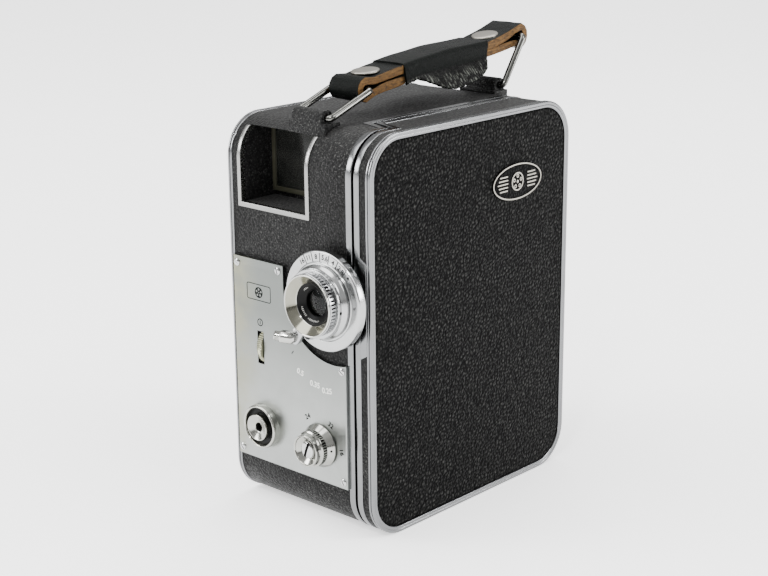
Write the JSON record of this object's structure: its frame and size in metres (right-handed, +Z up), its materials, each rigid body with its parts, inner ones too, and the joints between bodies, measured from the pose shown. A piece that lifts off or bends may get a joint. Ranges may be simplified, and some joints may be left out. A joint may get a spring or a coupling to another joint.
{
  "type": "cine camera",
  "caption": "Spring-driven cine camera with a hinged leathered film door, turret-free front lens, finder recess, front controls and a strap handle on two wire rings.",
  "frame": {"origin": "mouth of the tripod socket, in the middle of the base", "axes": "+Z up, -Y the direction the lens faces, +X towards the film door"},
  "size_m": [0.0656, 0.1164, 0.1465],
  "materials": {
    "crackle_paint": "dark grey wrinkle enamel",
    "black_paint": "satin black lacquer",
    "bright_trim": "polished chrome, lightly worn",
    "brushed_nickel": "vertical brushed satin nickel",
    "nickel_fitting": "turned satin nickel",
    "lens_chrome": "satin chrome with polished edges",
    "leather_black": "pebble-grained black leather",
    "strap_leather": "creased dark green-black leather",
    "aluminium": "machined, unpolished",
    "brass": "turned brass",
    "spring_steel": "blued steel",
    "optical_glass": "coated, clear",
    "olive_mask": "dull olive paint"
  },
  "bodies": {
    "camera_body": {"body_shell": "crackle_paint", "finder_box": "crackle_paint", "light_trap": "black_paint", "body_trim": "bright_trim", "left_cover": "black_paint", "left_leather": "leather_black", "left_bead": "bright_trim", "chamber_frame": "aluminium", "front_plate": "brushed_nickel", "plate_screws": "nickel_fitting", "finder_bezel": "bright_trim", "finder_mask": "olive_mask", "finder_glasses": "optical_glass", "finder_eyepiece": "bright_trim", "lens_mount": "lens_chrome", "scale_disc": "lens_chrome", "iris_blades": "black_paint", "release_collar": "nickel_fitting", "release_spring": "spring_steel", "front_bracket": "aluminium", "handle_lugs": "crackle_paint", "film_gate": "aluminium", "tripod_bush": "nickel_fitting", "hinge_body_leaf": "nickel_fitting", "motor_bridge": "brass"},
    "film_door": {"door_shell": "crackle_paint", "door_band": "bright_trim", "door_bead": "bright_trim", "door_leather": "leather_black", "door_badge": "nickel_fitting", "hinge_door_leaf": "nickel_fitting"},
    "latch": {"door_latch": "nickel_fitting"},
    "release": {"release_button": "nickel_fitting"},
    "speed_control": {"speed_knob": "nickel_fitting", "speed_screw": "nickel_fitting", "speed_shaft": "spring_steel"},
    "single_frame_control": {"frame_wheel": "nickel_fitting"},
    "focus_group": {"focus_ring": "lens_chrome", "focus_lever": "lens_chrome", "front_cell": "lens_chrome", "retaining_ring": "black_paint", "front_element": "optical_glass"},
    "aperture_control": {"aperture_ring": "lens_chrome"},
    "winder": {"winding_arbor": "spring_steel", "key_hub": "nickel_fitting"},
    "key_flap": {"folding_key": "nickel_fitting"},
    "spring_barrel": {"mainspring_barrel": "brass", "mainspring": "spring_steel"},
    "centre_arbor": {"centre_wheel": "brass"},
    "governor_arbor": {"governor": "spring_steel"},
    "shutter_rotor": {"shutter": "aluminium"},
    "takeup_reel": {"takeup_spool": "aluminium"},
    "supply_reel": {"supply_spool": "aluminium"},
    "claw": {"pull_down_claw": "spring_steel"},
    "film_pressure": {"pressure_plate": "aluminium"},
    "front_ring": {"front_handle_ring": "nickel_fitting"},
    "rear_ring": {"rear_handle_ring": "nickel_fitting"},
    "strap": {"handle_strap": "strap_leather", "strap_grip": "strap_leather", "strap_rivets": "nickel_fitting"}
  },
  "joints": [
    {"name": "door_swing", "type": "hinge", "parent": "camera_body", "child": "film_door", "pos_m": [0.0141, 0.0503, 0.063], "axis": [0, 0, 1], "range_deg": [0, 110]},
    {"name": "latch_turn", "type": "hinge", "parent": "camera_body", "child": "latch", "pos_m": [0.004, -0.024, 0.002], "axis": [0, 0, 1], "range_deg": [0, 90]},
    {"name": "release_press", "type": "slide", "parent": "camera_body", "child": "release", "axis": [0, 1, 0], "range_m": [0, 0.0018], "stiffness_N_per_m": 300},
    {"name": "speed_turn", "type": "hinge", "parent": "camera_body", "child": "speed_control", "pos_m": [0.009, -0.05, 0.0273], "axis": [0, -1, 0], "range_deg": [0, 124]},
    {"name": "single_frame_turn", "type": "hinge", "parent": "camera_body", "child": "single_frame_control", "pos_m": [-0.01675, -0.043, 0.0535], "axis": [1, 0, 0], "range_deg": [-25, 25]},
    {"name": "focus_turn", "type": "hinge", "parent": "camera_body", "child": "focus_group", "pos_m": [0.0152, -0.055, 0.0758], "axis": [0, -1, 0], "range_deg": [0, 56]},
    {"name": "aperture_turn", "type": "hinge", "parent": "focus_group", "child": "aperture_control", "pos_m": [0.0152, -0.058, 0.0758], "axis": [0, -1, 0], "range_deg": [0, 72]},
    {"name": "key_wind", "type": "hinge", "parent": "camera_body", "child": "winder", "pos_m": [-0.031, 0.014, 0.058], "axis": [-1, 0, 0], "continuous": true},
    {"name": "key_fold", "type": "hinge", "parent": "winder", "child": "key_flap", "pos_m": [-0.0338, 0.014, 0.058], "axis": [0, 0, 1], "range_deg": [0, 90]},
    {"name": "barrel_turn", "type": "hinge", "parent": "camera_body", "child": "spring_barrel", "pos_m": [-0.017, 0.014, 0.058], "axis": [1, 0, 0], "continuous": true},
    {"name": "centre_turn", "type": "hinge", "parent": "camera_body", "child": "centre_arbor", "pos_m": [-0.008, 0.014, 0.0869], "axis": [1, 0, 0], "continuous": true},
    {"name": "governor_turn", "type": "hinge", "parent": "camera_body", "child": "governor_arbor", "pos_m": [-0.008, -0.0041, 0.0869], "axis": [1, 0, 0], "continuous": true},
    {"name": "shutter_turn", "type": "hinge", "parent": "camera_body", "child": "shutter_rotor", "pos_m": [0.001, -0.034, 0.07], "axis": [0, 1, 0], "continuous": true},
    {"name": "takeup_turn", "type": "hinge", "parent": "camera_body", "child": "takeup_reel", "pos_m": [0.0189, 0.012, 0.034], "axis": [1, 0, 0], "continuous": true},
    {"name": "supply_turn", "type": "hinge", "parent": "camera_body", "child": "supply_reel", "pos_m": [0.0189, 0.012, 0.092], "axis": [1, 0, 0], "continuous": true},
    {"name": "claw_pull", "type": "slide", "parent": "camera_body", "child": "claw", "axis": [0, 0, -1], "range_m": [0, 0.0038]},
    {"name": "pressure_lift", "type": "slide", "parent": "camera_body", "child": "film_pressure", "axis": [0, 1, 0], "range_m": [0, 0.0015], "stiffness_N_per_m": 200},
    {"name": "front_ring_swing", "type": "hinge", "parent": "camera_body", "child": "front_ring", "pos_m": [0, -0.0405, 0.128], "axis": [1, 0, 0], "range_deg": [-6, 24]},
    {"name": "strap_swing", "type": "hinge", "parent": "front_ring", "child": "strap", "pos_m": [0, -0.02302, 0.13436], "axis": [1, 0, 0], "range_deg": [-29, 8]},
    {"name": "rear_ring_swing", "type": "hinge", "parent": "camera_body", "child": "rear_ring", "pos_m": [0, 0.0413, 0.128], "axis": [1, 0, 0], "range_deg": [-4, 13]}
  ],
  "couplings": [
    {"joint": "centre_turn", "follows": "barrel_turn", "ratio": -5},
    {"joint": "governor_turn", "follows": "barrel_turn", "ratio": 25},
    {"joint": "shutter_turn", "follows": "barrel_turn", "ratio": 10},
    {"joint": "takeup_turn", "follows": "barrel_turn", "ratio": 2},
    {"joint": "supply_turn", "follows": "barrel_turn", "ratio": 2},
    {"joint": "strap_swing", "follows": "front_ring_swing", "ratio": -1.1542},
    {"joint": "rear_ring_swing", "follows": "front_ring_swing", "ratio": 0.485}
  ]
}
